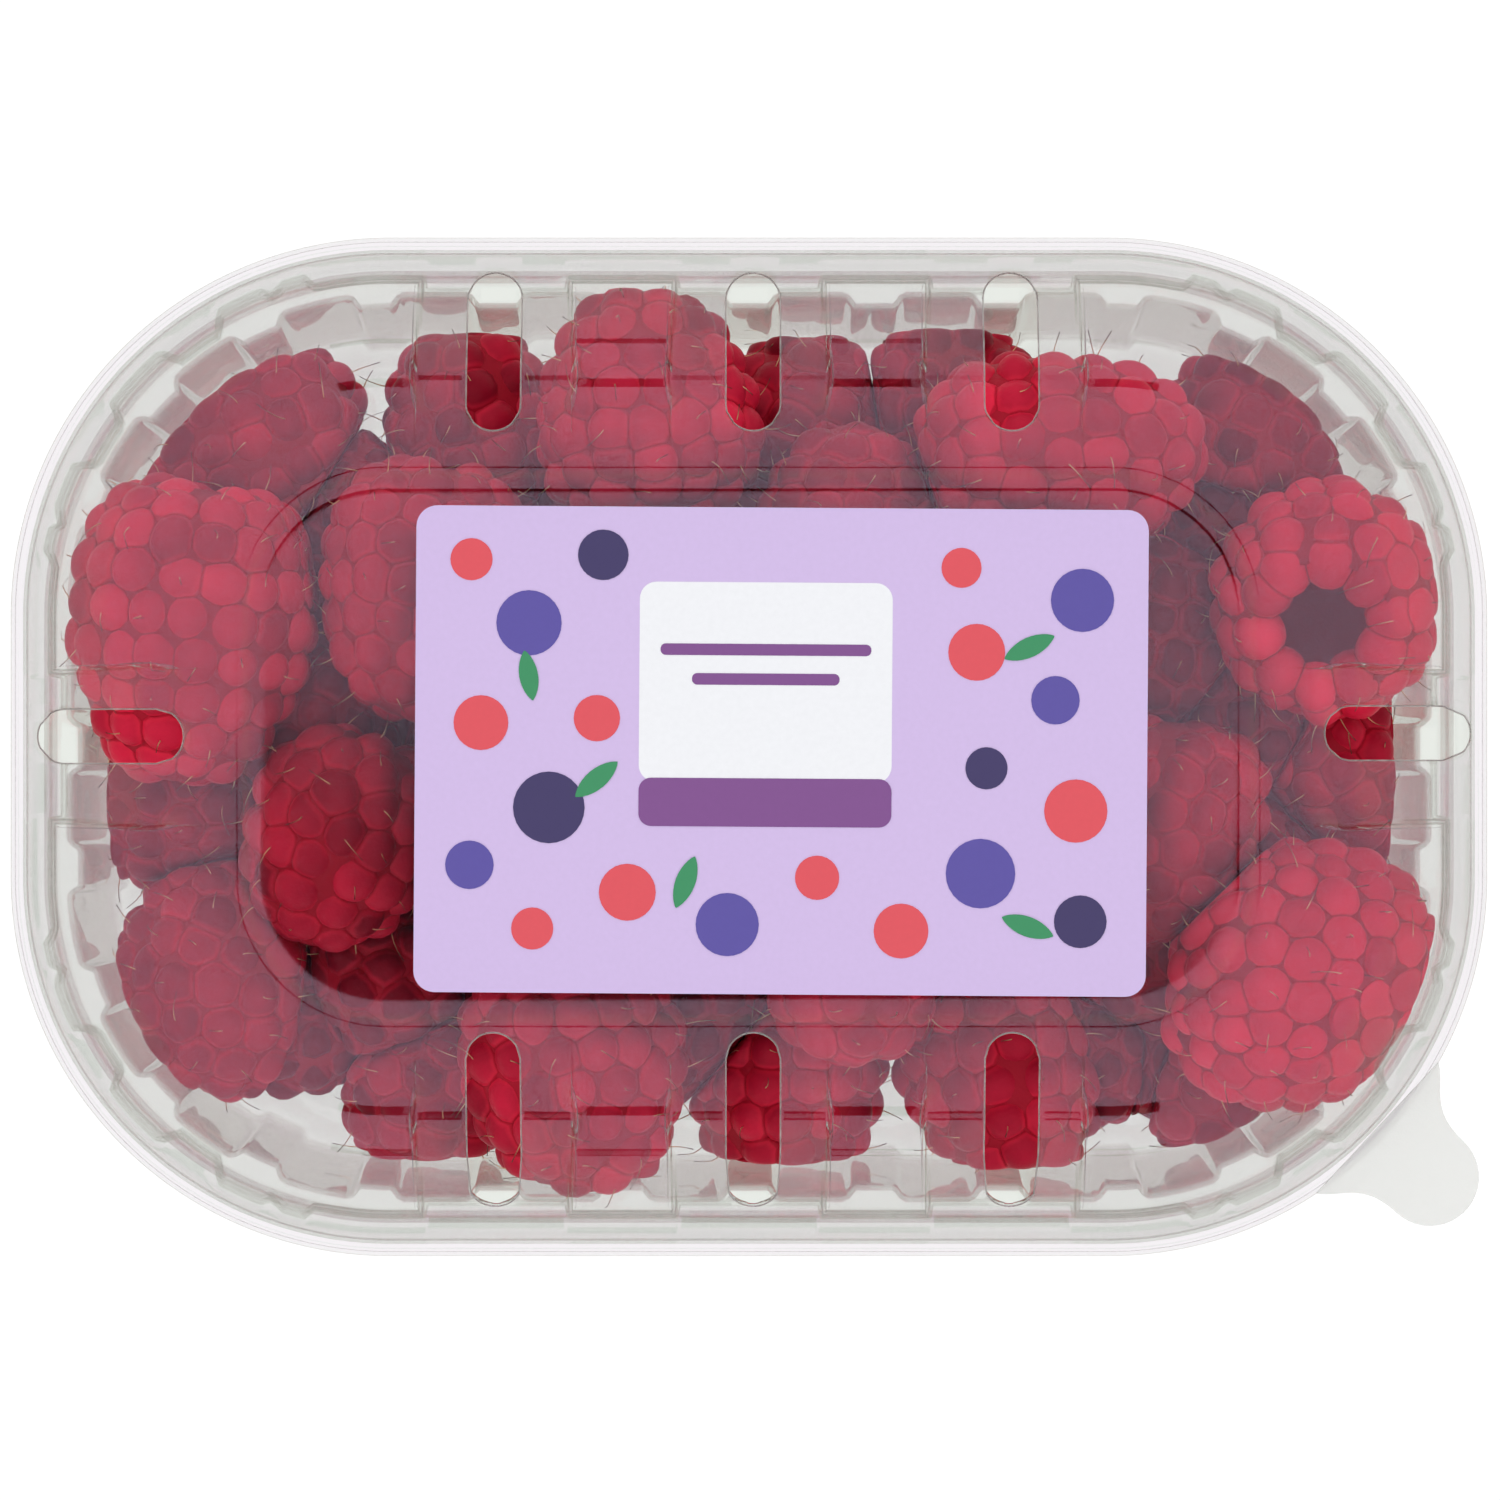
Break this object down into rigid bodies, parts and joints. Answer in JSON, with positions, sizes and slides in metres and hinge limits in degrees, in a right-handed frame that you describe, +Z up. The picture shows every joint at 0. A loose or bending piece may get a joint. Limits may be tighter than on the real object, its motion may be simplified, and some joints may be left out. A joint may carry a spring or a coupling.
{
  "type": "punnet of raspberries",
  "caption": "Clear ribbed plastic tray with a clipped-on vented lid and pull tab, a paper label on the lid, and a heap of raspberries inside.",
  "frame": {"origin": "on the table under the middle of the pack's rim outline", "axes": "+X along the pack's length towards the end with the pull tab, +Y across its width away from the tab, +Z up out of the lid"},
  "size_m": [0.142, 0.098, 0.042],
  "materials": {
    "tray_plastic": "clear thermoformed PET, smooth",
    "lid_plastic": "clear thermoformed PET, smooth, frosted on the pull tab",
    "label_paper": "coated paper, lilac print, satin",
    "raspberry": "ripe raspberry skin, soft sheen, fine hairs"
  },
  "bodies": {
    "root": {"tray": "tray_plastic", "lid": "lid_plastic", "label": "label_paper", "raspberries": "raspberry"}
  },
  "joints": []
}
